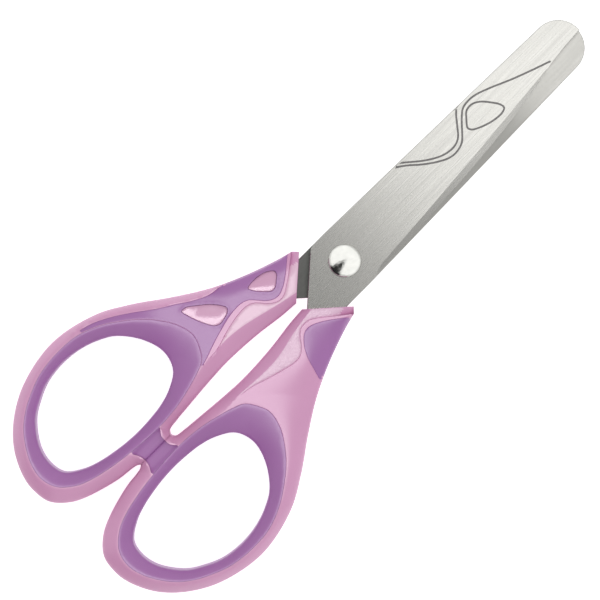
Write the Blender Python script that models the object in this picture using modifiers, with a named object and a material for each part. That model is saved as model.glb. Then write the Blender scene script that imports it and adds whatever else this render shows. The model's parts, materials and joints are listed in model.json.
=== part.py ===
"""Round-tipped craft scissors, closed and lying flat.

Two identical halves are joined by one rivet. Each half is a steel blade whose tang sits inside a rigid
plastic handle, and soft plastic grips are inlaid in that handle. The front half is the back half turned
over about the long axis.

Drawing units are millimetres from the pivot axis, halfway between the blades: +X towards the tips, and
+Y towards the back half's handle. The back half's face at +Z carries the windowed neck cover.
"""

import math

import bmesh
import bpy
import numpy as np

MM = 0.001

# Overall size
TIP_REACH = 59.75  # pivot to blade tips
HANDLE_REACH = 69.4  # pivot to the far end of the finger rings
GRIP_HALF = 4.0  # half the thickness of the finger rings, the thickest pieces
SOFT_HALF = 3.7  # half the thickness over the soft neck pieces
CORE_HALF = 3.4  # half the thickness of the rigid handles
GAP = 0.3  # between pieces that touch
RUNNING_GAP = 0.08  # between the rivet and what it holds

# Where the drawing's origin lies in the world: the part is centred and stands on its rings
PIVOT = ((HANDLE_REACH - TIP_REACH) / 2 * MM, 0.0, GRIP_HALF * MM)

# Blades
BLADE_THICK = 1.6
BLADE_INNER = GAP / 2  # each blade's inner face, from the middle plane
BLADE_OUTER = BLADE_INNER + BLADE_THICK
HEEL_HALF = 6.15  # half the blade's width at the pivot
TIP_RADIUS = 4.95  # half its width at the tip, and the tip's rounding

# Rivet
SHANK_RADIUS = 1.5
HEAD_RADIUS = 3.0
HEAD_HEIGHT = 1.15
HEAD_RIM = 0.2
BURR_RADIUS = 2.7
BURR_THICK = 0.6
TAIL_RADIUS = 2.1
TAIL_HEIGHT = 0.5

# Handles and grips
EDGE_ROUND = 1.7  # rounding of the rigid handle's edges
GRIP_SECTION = [(0, 2.9), (0.08, 3.6), (0.25, GRIP_HALF), (0.65, GRIP_HALF), (0.86, 3.45), (1, 2.5)]  # (across, height)
GRIP_STEPS = 44  # round each finger ring
POCKET_FLOOR = 2.6  # height of the floor under a soft inlay
SKIRT_DEPTH = 1.3  # how deep the soft pieces wrap into the neck's outer edge
SLOT_GAP = GAP  # clearance all round a tang
INLAY_HEIGHT = 1.0
STOP_HALF = 2.3  # half the length of a closing stop, along X
STOP_CENTRE = -48.6
STOP_TONGUE_HALF = 2.2  # half the height of the rigid tongue inside a stop
STOP_WALL = 1.0  # how far the tongue's end stays behind the closing plane
SPACING = 1.6  # of the points along an outline

# Outlines, counter-clockwise from above. Corners are where one run ends and the next begins.
NECK_INNER = (-11.7, 0.75)
NECK_OUTER = (-4.7, 7.0)
NECK_SHOULDER = (-5.6, 8.0)
NECK_END_DIRECTION = (0.746, 0.666)  # of the neck's flat front end, towards its outer corner
NECK_OUTER_EDGE = [NECK_SHOULDER, (-9, 8.95), (-15, 11.1), (-21, 13.9)]
RING_OUTER_EDGE = [
    (-21, 13.9), (-27, 17.65), (-33, 21.85), (-39, 25.15), (-48, 27.05), (-57, 25.4), (-63, 22.0),
    (-66.8, 18.0), (-69, 13.5), (-HANDLE_REACH, 9.9), (-68.6, 6.7), (-66, 4.0), (-63, 2.6), (-57, 0.98),
    (-52.9, 0.5),
]  # fmt: skip
STOP_FACE = [(-52.3, GAP / 2), (-44.7, GAP / 2)]
NECK_INNER_EDGE = [(-44.3, 0.8), (-39, 1.38), (-33, 1.85), (-28, 2.08), (-21, 1.72), (-15, 0.98), NECK_INNER]
GRIP_EDGE = [
    (-28.9, 9.6), (-29.9, 13.6), (-32.6, 18.0), (-36.3, 21.05), (-42, 24.1), (-48, 25.0), (-54, 24.3),
    (-60, 21.5), (-64.1, 17.4), (-66.4, 13.2), (-66.3, 8.9), (-63.2, 5.5), (-58, 3.7), (-51, 2.65),
    (-45, 2.45), (-39, 3.0), (-33, 4.5), (-30, 6.7),
]  # fmt: skip
FINGER_HOLE = [
    (-34.9, 11.6), (-36, 15.6), (-39, 19.65), (-43.5, 22.1), (-49, 23.05), (-54, 22.4), (-60, 19.15),
    (-63, 15.0), (-63.7, 11.8), (-62.9, 8.8), (-60, 6.8), (-54, 5.1), (-48, 4.62), (-42, 5.15), (-39, 6.1),
    (-36, 8.1),
]  # fmt: skip
COVER_RIM_EDGE = [(-19.4, 13.1), (-21.5, 13.15), (-24, 14.1), (-30, 17.75), (-36, 21.2), (-41, 23.6)]
COVER_HIDDEN_EDGE = [(-41, 23.6), (-45, 14), (-36, 3.6)]  # lies under the finger ring
COVER_GAP_EDGE = [(-36, 3.6), (-30, 5.2), (-27, 5.75), (-24, 6.9), (-21, 7.8), (-18.3, 7.95), (-16.8, 7.2),
                  (-14.6, 4.9), (-13.4, 4.1), (-11.9, 4.4)]  # fmt: skip
PAD_EDGE = [(-18.2, 12.4), (-17.6, 9.7), (-17, 7.6), (-16, 5.6), (-14.7, 4.2), (-13.4, 3.9), (-11.9, 4.25)]
LARGE_WINDOW = [
    (-27.3, 14.35), (-27.5, 13.4), (-26.5, 10.8), (-25.3, 8.6), (-24.2, 7.85), (-22.5, 7.95),
    (-21.3, 8.6), (-21.6, 9.9), (-23.5, 12.0), (-25.6, 13.7),
]  # fmt: skip
SMALL_WINDOW = [
    (-15.3, 9.05), (-15.95, 8.4), (-15.3, 7.4), (-14.2, 6.2), (-13.1, 5.3), (-12.1, 5.4), (-10.9, 6.4),
    (-10.3, 7.3), (-10.7, 7.9), (-12, 8.4), (-13.7, 8.95),
]  # fmt: skip
TANG = [(-9.9, 2.1), (-12.2, 3.3), (-17.0, 4.1), (-23.6, 6.3), (-24.6, 8.0), (-23.8, 9.9), (-14.0, 7.6),
        (-10.2, 7.5), (-6.6, 5.05)]  # fmt: skip
HEEL_DIAGONAL_END = (-10.81, 1.14)
HEEL_CORNER = [(-3.9, -5.0), (-2.7, -5.95), (-1.2, -HEEL_HALF)]
CUTTING_EDGE = [(TIP_REACH - 0.03, 0.5), (52.4, 1.1), (46, 2.3), (40, 3.3), (30, 4.3), (20, 5.0), (10, 5.6)]
EDGE_HEEL = (2.2, 6.0)
BEVEL_DEPTH = 0.45  # how far the cutting edge lies below the outer face
BEVEL_TOP = [(2.2, 6.0), (5, 5.4), (10, 4.95), (20, 4.1), (30, 3.2), (40, 2.25), (52.4, 1.1)]  # on the outer face
HEEL_SHOULDER = (-5.26, HEEL_HALF)

STEEL = ("stainless_steel", (0.62, 0.62, 0.60), 0.32, 1.0)
POLISHED = ("polished_steel", (0.80, 0.80, 0.77), 0.12, 1.0)
PINK = ("pink_plastic", (0.80, 0.48, 0.68), 0.38, 0.0)
PINK_GLOSS = ("pink_gloss_plastic", (0.86, 0.58, 0.74), 0.18, 0.0)
PURPLE = ("purple_soft_plastic", (0.40, 0.20, 0.46), 0.60, 0.0)


def clear_scene():
    for obj in list(bpy.data.objects):
        bpy.data.objects.remove(obj)


def collection(name):
    made = bpy.data.collections.new(name)
    bpy.context.scene.collection.children.link(made)
    return made


def material(name, colour, roughness, metallic):
    made = bpy.data.materials.new(name)
    made.use_nodes = True
    shader = made.node_tree.nodes["Principled BSDF"]
    shader.inputs["Base Color"].default_value = (*colour, 1.0)
    shader.inputs["Roughness"].default_value = roughness
    shader.inputs["Metallic"].default_value = metallic
    return made


# Outlines


def spline_points(p0, p1, p2, p3, count):
    """Points on a centripetal Catmull-Rom span from p1 to p2, the last one left out."""
    knots = np.cumsum([0.0] + [max(np.linalg.norm(b - a) ** 0.5, 1e-6) for a, b in ((p0, p1), (p1, p2), (p2, p3))])
    t = np.linspace(knots[1], knots[2], count, endpoint=False)[:, None]

    def blend(a, b, start, end):
        return a * (end - t) / (end - start) + b * (t - start) / (end - start)

    a1, a2, a3 = (blend(a, b, knots[i], knots[i + 1]) for i, (a, b) in enumerate(((p0, p1), (p1, p2), (p2, p3))))
    return blend(blend(a1, a2, knots[0], knots[2]), blend(a2, a3, knots[1], knots[3]), knots[1], knots[2])


def run(points):
    """A smooth run through the points, from the first to the last."""
    p = [np.array(point, float) for point in points]
    p = [2 * p[0] - p[1], *p, 2 * p[-1] - p[-2]]
    return np.concatenate([*spans(p), p[-2][None]])


def loop(points):
    """A smooth closed loop through the points."""
    p = [np.array(point, float) for point in points]
    return np.concatenate(spans([p[-1], *p, p[0], p[1]]))


def spans(p):
    counts = [max(1, round(np.linalg.norm(b - a) / SPACING)) for a, b in zip(p[1:-2], p[2:-1])]
    return [spline_points(*p[i : i + 4], count) for i, count in enumerate(counts)]


def joined(*runs):
    """One outline from runs that meet in corners."""
    points = np.concatenate([np.array(r, float) for r in runs])
    apart = np.linalg.norm(points - np.roll(points, 1, axis=0), axis=1) > 0.02
    return points[apart]


def arc(centre, radius, start_deg, end_deg, steps):
    angles = np.radians(np.linspace(start_deg, end_deg, steps + 1))
    return np.array(centre) + radius * np.stack([np.cos(angles), np.sin(angles)], axis=1)


def normals(outline):
    """Unit vectors that point out of a counter-clockwise outline, and the mitre length at each point."""
    to_here = outline - np.roll(outline, 1, axis=0)
    to_next = np.roll(outline, -1, axis=0) - outline
    to_here /= np.linalg.norm(to_here, axis=1)[:, None]
    to_next /= np.linalg.norm(to_next, axis=1)[:, None]
    along = to_here + to_next
    along /= np.linalg.norm(along, axis=1)[:, None]
    mitre = 1 / np.maximum((along * to_here).sum(axis=1), 0.5)
    return np.stack([along[:, 1], -along[:, 0]], axis=1), mitre


def grown(outline, distance):
    """A counter-clockwise outline moved outwards by a distance in millimetres, or inwards by a negative one."""
    out, mitre = normals(outline)
    return outline + distance * out * mitre[:, None]


def handle_outline():
    return joined(
        [NECK_INNER, NECK_OUTER],
        run(NECK_OUTER_EDGE + RING_OUTER_EDGE[1:]),
        STOP_FACE,
        run(NECK_INNER_EDGE),
    )


def beside_front(distance):
    """A point level with the neck's shoulder, parallel to its front end and this far out of its outer edge."""
    return np.array(NECK_SHOULDER) + distance / 0.84 * np.array(NECK_END_DIRECTION)


def past_edge(start_x):
    """The neck's outer edge from its shoulder back to start_x, moved clear of the handle."""
    edge = run(NECK_OUTER_EDGE)
    edge = edge[edge[:, 0] > start_x]
    return joined([beside_front(1.0)], edge[1:] + np.array([0.3, 1.0]))


def cover_outline():
    """The windowed neck cover, which runs past the handle's outer edge and under the finger ring."""
    return joined([beside_front(-0.5)], past_edge(-19.4), run(COVER_RIM_EDGE), COVER_HIDDEN_EDGE[1:], run(COVER_GAP_EDGE))


def pad_outline():
    """The neck pad on the other face, which runs past the handle's outer edge."""
    return joined([beside_front(-0.5)], past_edge(-18.0), run(PAD_EDGE))


def skirt_outline(start_x, depth):
    """The strip of the neck's outer edge that a soft piece wraps, from its shoulder back to start_x."""
    edge = run(NECK_OUTER_EDGE)
    edge = edge[edge[:, 0] > start_x]
    out, _ = normals(edge)
    out[0], out[-1] = out[1], out[-2]
    inside = (edge - depth * out)[1:]
    inside = inside[inside[:, 0] < beside_front(-depth)[0] - 0.3]
    return joined([beside_front(-depth), beside_front(2.0)], (edge + 2.0 * out)[1:], inside[::-1])


def box_outline(low, high):
    return np.array([(low[0], low[1]), (high[0], low[1]), (high[0], high[1]), (low[0], high[1])], float)


# Solids


def solid(name, outlines, low, high, rounding=0.0):
    """A flat plate from low to high, its outer edges rounded, as a mesh object with its origin on the pivot."""
    curve = bpy.data.curves.new(name, "CURVE")
    curve.dimensions = "2D"
    curve.fill_mode = "BOTH"
    curve.extrude = ((high - low) / 2 - rounding) * MM
    curve.bevel_depth = rounding * MM
    curve.offset = -rounding * MM
    curve.bevel_resolution = 1
    for outline in outlines:
        spline = curve.splines.new("POLY")
        spline.points.add(len(outline) - 1)
        for point, (x, y) in zip(spline.points, outline):
            point.co = (x * MM, y * MM, 0.0, 1.0)
        spline.use_cyclic_u = True
    drawn = bpy.data.objects.new(name, curve)
    cutters.objects.link(drawn)
    drawn.location.z = (high + low) / 2 * MM
    made = mesh_object(name, evaluated_mesh(drawn))
    made.data.transform(drawn.matrix_world)
    bpy.data.objects.remove(drawn)
    return made


def rounded_handle(name, half):
    """The handle's outline as a plate of a given half thickness with rounded edges, sharp at its front end and stop."""
    outline = handle_outline()
    rounding = np.ones(len(outline))
    for point, scale in zip((NECK_INNER, NECK_OUTER, NECK_SHOULDER, *STOP_FACE), (0.3, 0.2, 0.3, 0, 0)):
        rounding[np.linalg.norm(outline - point, axis=1).argmin()] = scale
    out, mitre = normals(outline)
    rings = []
    for angle in (0, math.pi / 4, math.pi / 2):
        inset = EDGE_ROUND * (1 - math.cos(angle)) * rounding * mitre
        rings.append((outline - inset[:, None] * out, half - EDGE_ROUND * (1 - math.sin(angle))))
    rings = [(ring, -height) for ring, height in rings[::-1]] + rings
    return mesh_object(name, stacked(name, rings))


def stacked(name, rings, closed=False):
    """A mesh through rings of (outline, height): capped at both ends, or closed round a hole."""
    work = bmesh.new()
    loops = [[work.verts.new((x * MM, y * MM, z * MM)) for x, y in ring] for ring, z in rings]
    if not closed:
        work.faces.new(loops[0])
        work.faces.new(loops[-1])
    for lower, upper in zip(loops, loops[1:] + loops[:1] if closed else loops[1:]):
        for i, vert in enumerate(lower):
            work.faces.new((lower[i - 1], vert, upper[i], upper[i - 1]))
    bmesh.ops.recalc_face_normals(work, faces=work.faces)
    mesh = bpy.data.meshes.new(name)
    work.to_mesh(mesh)
    work.free()
    return mesh


def evaluated_mesh(obj):
    bpy.context.view_layer.update()
    graph = bpy.context.evaluated_depsgraph_get()
    mesh = bpy.data.meshes.new_from_object(obj.evaluated_get(graph))
    work = bmesh.new()
    work.from_mesh(mesh)
    bmesh.ops.remove_doubles(work, verts=work.verts, dist=1e-6)
    bmesh.ops.recalc_face_normals(work, faces=work.faces)
    work.to_mesh(mesh)
    work.free()
    return mesh


def mesh_object(name, mesh):
    """A helper that shapes other pieces. Pieces of the scissors are made from its mesh by add_piece."""
    made = bpy.data.objects.new(name, mesh)
    cutters.objects.link(made)
    made.hide_render = True
    made.display_type = "WIRE"
    return made


def shaped(body, cuts=(), keep=None):
    """The body's mesh, kept only inside one solid where that is given, with the others cut away."""
    steps = [("INTERSECT", keep)] if keep else []
    for operation, other in steps + [("DIFFERENCE", cutter) for cutter in cuts]:
        boolean = body.modifiers.new(operation.lower(), "BOOLEAN")
        boolean.operation = operation
        boolean.object = other
    mesh = evaluated_mesh(body)
    body.modifiers.clear()
    return mesh


def blade_outline():
    shoulder_step = [TANG[-1], *TANG[-2::-1]]
    return joined(
        HEEL_CORNER,
        arc((TIP_REACH - TIP_RADIUS, 0), TIP_RADIUS, -90, 4, 9),
        run(CUTTING_EDGE),
        [EDGE_HEEL, (0.5, HEEL_HALF), HEEL_SHOULDER],
        shoulder_step,
        [HEEL_DIAGONAL_END],
    )


def blade_mesh():
    """A flat blade with its tang. Its outer face stops short of the cutting edge, which makes the ground bevel."""
    outline = blade_outline()
    outer = outline.copy()
    bevelled = (outline[:, 0] > EDGE_HEEL[0]) & (outline[:, 0] < BEVEL_TOP[-1][0]) & (outline[:, 1] > 1)
    outer[bevelled, 1] = np.interp(outline[bevelled, 0], *np.transpose(BEVEL_TOP))
    levels = [(outer, -BLADE_OUTER), (outline, BEVEL_DEPTH - BLADE_OUTER), (outline, -BLADE_INNER)]
    blank = stacked("blade_blank", levels)
    bore = cylinder("pivot_bore", SHANK_RADIUS + RUNNING_GAP, -BLADE_OUTER - 1, 1)
    return shaped(mesh_object("blade_blank", blank), [bore])


def cylinder(name, radius, low, high, segments=32):
    bpy.ops.mesh.primitive_cylinder_add(
        vertices=segments, radius=radius * MM, depth=(high - low) * MM, location=(0, 0, (low + high) / 2 * MM)
    )
    drawn = bpy.context.object
    made = mesh_object(name, evaluated_mesh(drawn))
    made.data.transform(drawn.matrix_world)
    bpy.data.objects.remove(drawn)
    return made


def turned_mesh(name, profile, closed):
    """A profile of (radius, height) turned about the pivot axis with a Screw modifier."""
    work = bmesh.new()
    verts = [work.verts.new((r * MM, 0.0, z * MM)) for r, z in profile]
    for a, b in zip(verts, verts[1:] + verts[:1] if closed else verts[1:]):
        work.edges.new((a, b))
    mesh = bpy.data.meshes.new(name)
    work.to_mesh(mesh)
    work.free()
    drawn = mesh_object(name, mesh)
    screw = drawn.modifiers.new("turn", "SCREW")
    screw.steps = screw.render_steps = 32
    screw.use_merge_vertices = True
    screw.merge_threshold = 1e-6
    return evaluated_mesh(drawn)


def rivet_mesh():
    """A domed head, a shank, and a tail spread over the burr."""
    head_floor = BLADE_OUTER + RUNNING_GAP
    dome_height = HEAD_HEIGHT - HEAD_RIM
    dome_radius = (HEAD_RADIUS**2 + dome_height**2) / (2 * dome_height)
    slope = math.degrees(math.asin(HEAD_RADIUS / dome_radius))
    dome = arc((0, head_floor + HEAD_HEIGHT - dome_radius), dome_radius, 90, 90 - slope, 6)
    tail_top = -(BLADE_OUTER + BURR_THICK + 2 * RUNNING_GAP)
    profile = [
        *dome,
        (HEAD_RADIUS, head_floor),
        (SHANK_RADIUS, head_floor),
        (SHANK_RADIUS, tail_top),
        (TAIL_RADIUS, tail_top),
        (TAIL_RADIUS * 0.85, tail_top - TAIL_HEIGHT * 0.6),
        (TAIL_RADIUS * 0.5, tail_top - TAIL_HEIGHT),
        (0, tail_top - TAIL_HEIGHT),
    ]
    return turned_mesh("rivet", profile, closed=False)


def burr_mesh():
    """The washer that the rivet's tail is spread over."""
    top = -(BLADE_OUTER + RUNNING_GAP)
    bottom = top - BURR_THICK
    bore = SHANK_RADIUS + RUNNING_GAP
    chamfer = 0.15
    profile = [
        (bore, top),
        (BURR_RADIUS, top),
        (BURR_RADIUS, bottom + chamfer),
        (BURR_RADIUS - chamfer, bottom),
        (bore, bottom),
    ]
    return turned_mesh("burr", profile, closed=True)


def core_mesh():
    """The rigid handle: a rounded plate with pockets for the tang and the soft pieces."""
    body = rounded_handle("core_blank", CORE_HALF)
    margin = GAP / 2
    past = CORE_HALF + 2
    stop_low = (STOP_CENTRE - STOP_HALF - GAP, -2)
    stop_high = (STOP_CENTRE + STOP_HALF + GAP, 3.6)
    cuts = [
        solid("ring_seat", [grown(loop(GRIP_EDGE), margin)], -past, past),
        solid("cover_seat", [grown(cover_outline(), margin)], POCKET_FLOOR, past),
        solid("cover_skirt_seat", [skirt_outline(-19.6, SKIRT_DEPTH)], 0, past),
        solid("pad_seat", [grown(pad_outline(), margin)], -past, -POCKET_FLOOR),
        solid("pad_skirt_seat", [skirt_outline(-18.4, SKIRT_DEPTH)], -past, 0.01),
        solid("tang_slot", [grown(tang_outline(), SLOT_GAP)], -BLADE_OUTER - SLOT_GAP, -BLADE_INNER + SLOT_GAP),
        solid("stop_seat_top", [box_outline(stop_low, stop_high)], STOP_TONGUE_HALF, past),
        solid("stop_seat_bottom", [box_outline(stop_low, stop_high)], -past, -STOP_TONGUE_HALF),
        solid("stop_seat_front", [box_outline(stop_low, (stop_high[0], STOP_WALL))], -past, past),
    ]
    return shaped(body, cuts)


def tang_outline():
    """The tang, run on past the handle's front end so that its slot opens there."""
    return np.array([(-8.0, 1.0), *TANG, (-5.0, 3.5)][::-1], float)


def around(outline, steps):
    """The outline's points at equal turns about the finger hole's centre."""
    centre = np.mean(loop(FINGER_HOLE), axis=0)
    x, y = (outline - centre).T
    angles, radii = np.arctan2(y, x), np.hypot(x, y)
    turns = np.linspace(-math.pi, math.pi, steps, endpoint=False)
    radius = np.interp(turns, angles[np.argsort(angles)], radii[np.argsort(angles)], period=2 * math.pi)
    return centre + radius[:, None] * np.stack([np.cos(turns), np.sin(turns)], axis=1)


def grip_mesh():
    """The soft finger ring, which lines the hole right through the handle: a rounded section swept round the hole."""
    outer = around(grown(loop(GRIP_EDGE), -GAP / 2), GRIP_STEPS)
    hole = around(loop(FINGER_HOLE), GRIP_STEPS)
    section = GRIP_SECTION + [(across, -height) for across, height in GRIP_SECTION[::-1]]
    return stacked("ring_grip", [(outer + across * (hole - outer), height) for across, height in section], closed=True)


def soft_envelope():
    """The handle's shape at the height of the soft neck pieces, which their outer faces follow."""
    return rounded_handle("soft_envelope", SOFT_HALF)


def neck_inside(start_x, low, high):
    """What lies behind a soft piece: the neck inside the skirt, and everything beyond start_x."""
    skirt = skirt_outline(start_x, SKIRT_DEPTH - GAP)
    block = solid("neck_block", [box_outline((-50, -2), (0, 30))], low, high)
    return mesh_object("neck_inside", shaped(block, [solid("skirt", [skirt], low - 1, high + 1)]))


def cover_mesh():
    """The windowed neck cover: a thin top and a skirt down the neck's outer edge to the middle plane."""
    prism = solid("cover_prism", [grown(cover_outline(), -GAP / 2)], GAP / 2, SOFT_HALF + 1)
    cuts = [
        neck_inside(-19.4, -1, POCKET_FLOOR + GAP),
        solid("ring_clearance", [grown(loop(GRIP_EDGE), GAP / 2)], -6, 6),
        solid("large_window", [loop(LARGE_WINDOW)], 0, 6),
        solid("small_window", [loop(SMALL_WINDOW)], 0, 6),
    ]
    return shaped(soft_envelope(), cuts, keep=prism)


def pad_mesh():
    """The neck pad on the other face, with its own skirt up to the middle plane."""
    prism = solid("pad_prism", [grown(pad_outline(), -GAP / 2)], -SOFT_HALF - 1, -GAP / 2)
    return shaped(soft_envelope(), [neck_inside(-18.2, -POCKET_FLOOR - GAP, 1)], keep=prism)


def stop_mesh():
    """The soft closing stop, a cap over the tongue of the handle."""
    x0, x1 = STOP_CENTRE - STOP_HALF, STOP_CENTRE + STOP_HALF
    cap = solid("stop_blank", [box_outline((x0, GAP / 2), (x1, 2.3))], -SOFT_HALF, SOFT_HALF, 0.1)
    tongue_half = STOP_TONGUE_HALF + GAP
    tongue = solid("stop_tongue", [box_outline((x0 - 1, STOP_WALL - GAP), (x1 + 1, 4))], -tongue_half, tongue_half)
    return shaped(cap, [tongue])


def inlay_mesh(name, window):
    """A domed glossy inlay that fills one window of the neck cover."""
    low = POCKET_FLOOR + GAP
    return shaped(solid(name, [grown(loop(window), -GAP / 2)], low - INLAY_HEIGHT, low + INLAY_HEIGHT, 0.7),
                  [solid("below", [box_outline((-40, 0), (0, 30))], -3, low)])  # fmt: skip


# Assembly


def add_piece(name, mesh, finish, parent):
    made = bpy.data.objects.new(name, mesh)
    if not mesh.materials:
        mesh.materials.append(finish)
    mesh.shade_smooth()
    mesh.set_sharp_from_angle(angle=math.radians(35))
    made.parent = parent
    scissors.objects.link(made)
    return made


def pivot_empty(name, turn):
    """A parent on the pivot axis for one moving half."""
    made = bpy.data.objects.new(name, None)
    made.empty_display_size = 5 * MM
    made.location = PIVOT
    made.rotation_euler = (turn, 0, 0)
    scissors.objects.link(made)
    return made


clear_scene()
scissors = collection("scissors")
cutters = collection("cutters")
cutters.hide_render = True

steel, polished, pink, pink_gloss, purple = (
    material(*finish) for finish in (STEEL, POLISHED, PINK, PINK_GLOSS, PURPLE)
)
PIECES = [
    ("blade", blade_mesh(), steel),
    ("handle_core", core_mesh(), pink),
    ("ring_grip", grip_mesh(), purple),
    ("neck_cover", cover_mesh(), purple),
    ("neck_pad", pad_mesh(), purple),
    ("closing_stop", stop_mesh(), purple),
    ("large_inlay", inlay_mesh("large_inlay", LARGE_WINDOW), pink_gloss),
    ("small_inlay", inlay_mesh("small_inlay", SMALL_WINDOW), pink_gloss),
]
halves = {"back": pivot_empty("back_half", 0), "front": pivot_empty("front_half", math.pi)}
for side, parent in halves.items():
    for piece, mesh, finish in PIECES:
        add_piece(f"{side}_{piece}", mesh, finish, parent)
add_piece("pivot_rivet", rivet_mesh(), polished, halves["back"])
add_piece("rivet_burr", burr_mesh(), polished, halves["back"])
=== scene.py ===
"""Looks of the round-tipped craft scissors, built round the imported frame.

Every visible piece is drawn in millimetres from the pivot axis, halfway between the blades, as part of one
scissor half: +X towards the tips, +Y towards that half's handle. The back half uses it as it is, and the
front half is the same half turned over about the long axis.

A handle has two faces. The window face carries the neck cover with its two windows, and looks up on the
back half. The pad face carries the plain neck pad, and looks up on the front half.
"""

import json
import math

import bpy
import numpy as np
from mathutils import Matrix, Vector
from mathutils.geometry import delaunay_2d_cdt

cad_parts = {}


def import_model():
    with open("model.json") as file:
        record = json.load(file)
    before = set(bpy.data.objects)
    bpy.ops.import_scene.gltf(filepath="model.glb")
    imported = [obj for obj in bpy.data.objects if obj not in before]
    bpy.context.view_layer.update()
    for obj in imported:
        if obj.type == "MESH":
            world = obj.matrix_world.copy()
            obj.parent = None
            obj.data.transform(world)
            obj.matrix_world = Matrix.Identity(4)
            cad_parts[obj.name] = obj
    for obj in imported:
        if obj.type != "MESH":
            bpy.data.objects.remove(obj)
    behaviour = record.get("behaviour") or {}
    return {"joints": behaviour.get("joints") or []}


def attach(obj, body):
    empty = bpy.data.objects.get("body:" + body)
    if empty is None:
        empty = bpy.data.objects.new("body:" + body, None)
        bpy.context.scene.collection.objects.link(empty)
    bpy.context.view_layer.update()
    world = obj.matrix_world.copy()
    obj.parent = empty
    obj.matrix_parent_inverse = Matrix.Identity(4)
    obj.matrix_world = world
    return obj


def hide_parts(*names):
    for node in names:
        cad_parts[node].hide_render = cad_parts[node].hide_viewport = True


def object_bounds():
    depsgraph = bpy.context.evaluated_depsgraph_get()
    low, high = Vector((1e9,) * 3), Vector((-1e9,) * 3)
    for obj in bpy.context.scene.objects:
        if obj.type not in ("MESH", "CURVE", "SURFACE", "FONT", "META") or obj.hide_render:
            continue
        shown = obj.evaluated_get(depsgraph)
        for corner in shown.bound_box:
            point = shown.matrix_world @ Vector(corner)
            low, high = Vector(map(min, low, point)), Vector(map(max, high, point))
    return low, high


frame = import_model()
cad_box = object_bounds()

MM = 0.001
PIVOT = np.array(frame["joints"][0]["pos_m"])

# Sizes, millimetres
TIP_REACH = 59.735
HANDLE_REACH = 69.39
RING_TOP = 3.95  # height of a handle's face over the finger ring, from the middle plane
NECK_TOP = 3.55  # and over the neck
RING_EDGE = 2.2  # height at which a face meets the rounded outer edge
NECK_EDGE = 1.9
SIDE = 1.15  # half the height of the upright part of the outer edge
SILHOUETTE_ROUND = 0.4
SEAM_ROUND = 0.07  # rounding beside a seam between two pieces
CREST_WIDTH = 0.3  # of the level line along the finger ring's ridge, on both sides of the seam
SEAM = 0.01  # the gap beside a soft neck piece or a stop, and half the one round the finger ring
STEP_HEIGHT = 0.2  # of the raised rim beside the neck's flat facet
STEP_WIDTH = 0.08  # of that rim's wall
GROOVE = 0.11  # depth of the fine groove along that step
GROOVE_WIDTH = 0.16
TAIL_FALL = 0.35  # from the finger ring's ridge to the pink rim, across the cover's tail
SLOPE_POWER = 1.12  # above 1, so that the slopes down to the edges are rounded
CROWN_POWER = 1.1  # added to it over the pad face's neck, for its broad crown
COVER_ROLL, COVER_ROLL_REACH = 0.9, 3.2  # how far the cover rolls down at its outer edge, and from where
FACET_ROLL, FACET_ROLL_REACH = 1.5, 3.8  # the same for the flat facet
END_ROLL, END_ROLL_REACH = 0.15, 0.3  # and for the facet at the neck's front end
POCKET = 0.85  # depth of the seats under the cover and the pad
POCKET_EDGE = 0.15  # and along their sides
SOFT_THICK = 0.7
SOFT_ROUND = 0.13  # rounding of the soft pieces' edges on the handle
WINDOW_ROUND = 0.12
SKIRT_LOW = 0.3  # the soft pieces wrap the neck's outer edge down to here
RING_DIP = 1.45  # from the finger ring's ridge down to the finger hole
SEAM_SIDE = 9.0  # above every face, so that a seam's wall starts right under its rounding
SPACING = 0.4  # of the points along an outline
GRID = 0.45  # of the points inside a face
BLADE_THICK = 1.6
BLADE_INNER = 0.15  # each blade's inner face, from the middle plane
BLADE_OUTER = BLADE_INNER + BLADE_THICK
BLADE_CHAMFER = 0.1
CUTTING_CHAMFER = 0.02
RELIEF_REACH = 3.2  # width of the shallow slope ground along a blade's spine, on its inner face
RELIEF_SLOPE = 0.19
RELIEF_ROUND = 0.25  # how softly that slope starts
SPINE_BOW = 0.02
BEVEL_SLOPES = [(6, 0.23), (30, 0.15)]  # slope of the bevel at two distances from the pivot
HEEL_HALF = 6.15
TIP_RADIUS = 4.95
ETCH_WIDTH = 0.34
ETCH_DEPTH = 0.03
BORE_RADIUS = 1.58
PAINTED_SHADE_UP_TO = -2.5  # the tang's inner face is coloured darker steel from here back, painted shade of the front blade
INNER_DOWN_TO = -0.8  # the inner face's finish ends here, under its ground slope
RUNNING_GAP = 0.08  # between the rivet, the burr and the blades
HEAD_RADIUS = 3.0
HEAD_RISE = 1.15
HEAD_RIM = 0.22  # height of the head's upright rim
SHANK_RADIUS = 1.5
TAIL_RADIUS = 2.1
TAIL_RISE = 0.5
BURR_RADIUS = 2.7
BURR_THICK = 0.6
BURR_ROUND = 0.15

# Stretches along X over which the handle changes
TOP_LOWERS = (-42, -24)  # from the height over the ring to that over the neck
EDGE_LOWERS = (-38, -26)
STEP_RISES = (-31, -25)
GROOVE_STARTS = (-31, -28)
CROWN_GROWS = (-42, -27)
COVER_ROLLS = (-25, -17)
TAIL_STARTS = (29, 34)  # these two are distances behind the pivot
TAIL_ENDS = (42.5, 44.5)

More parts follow.
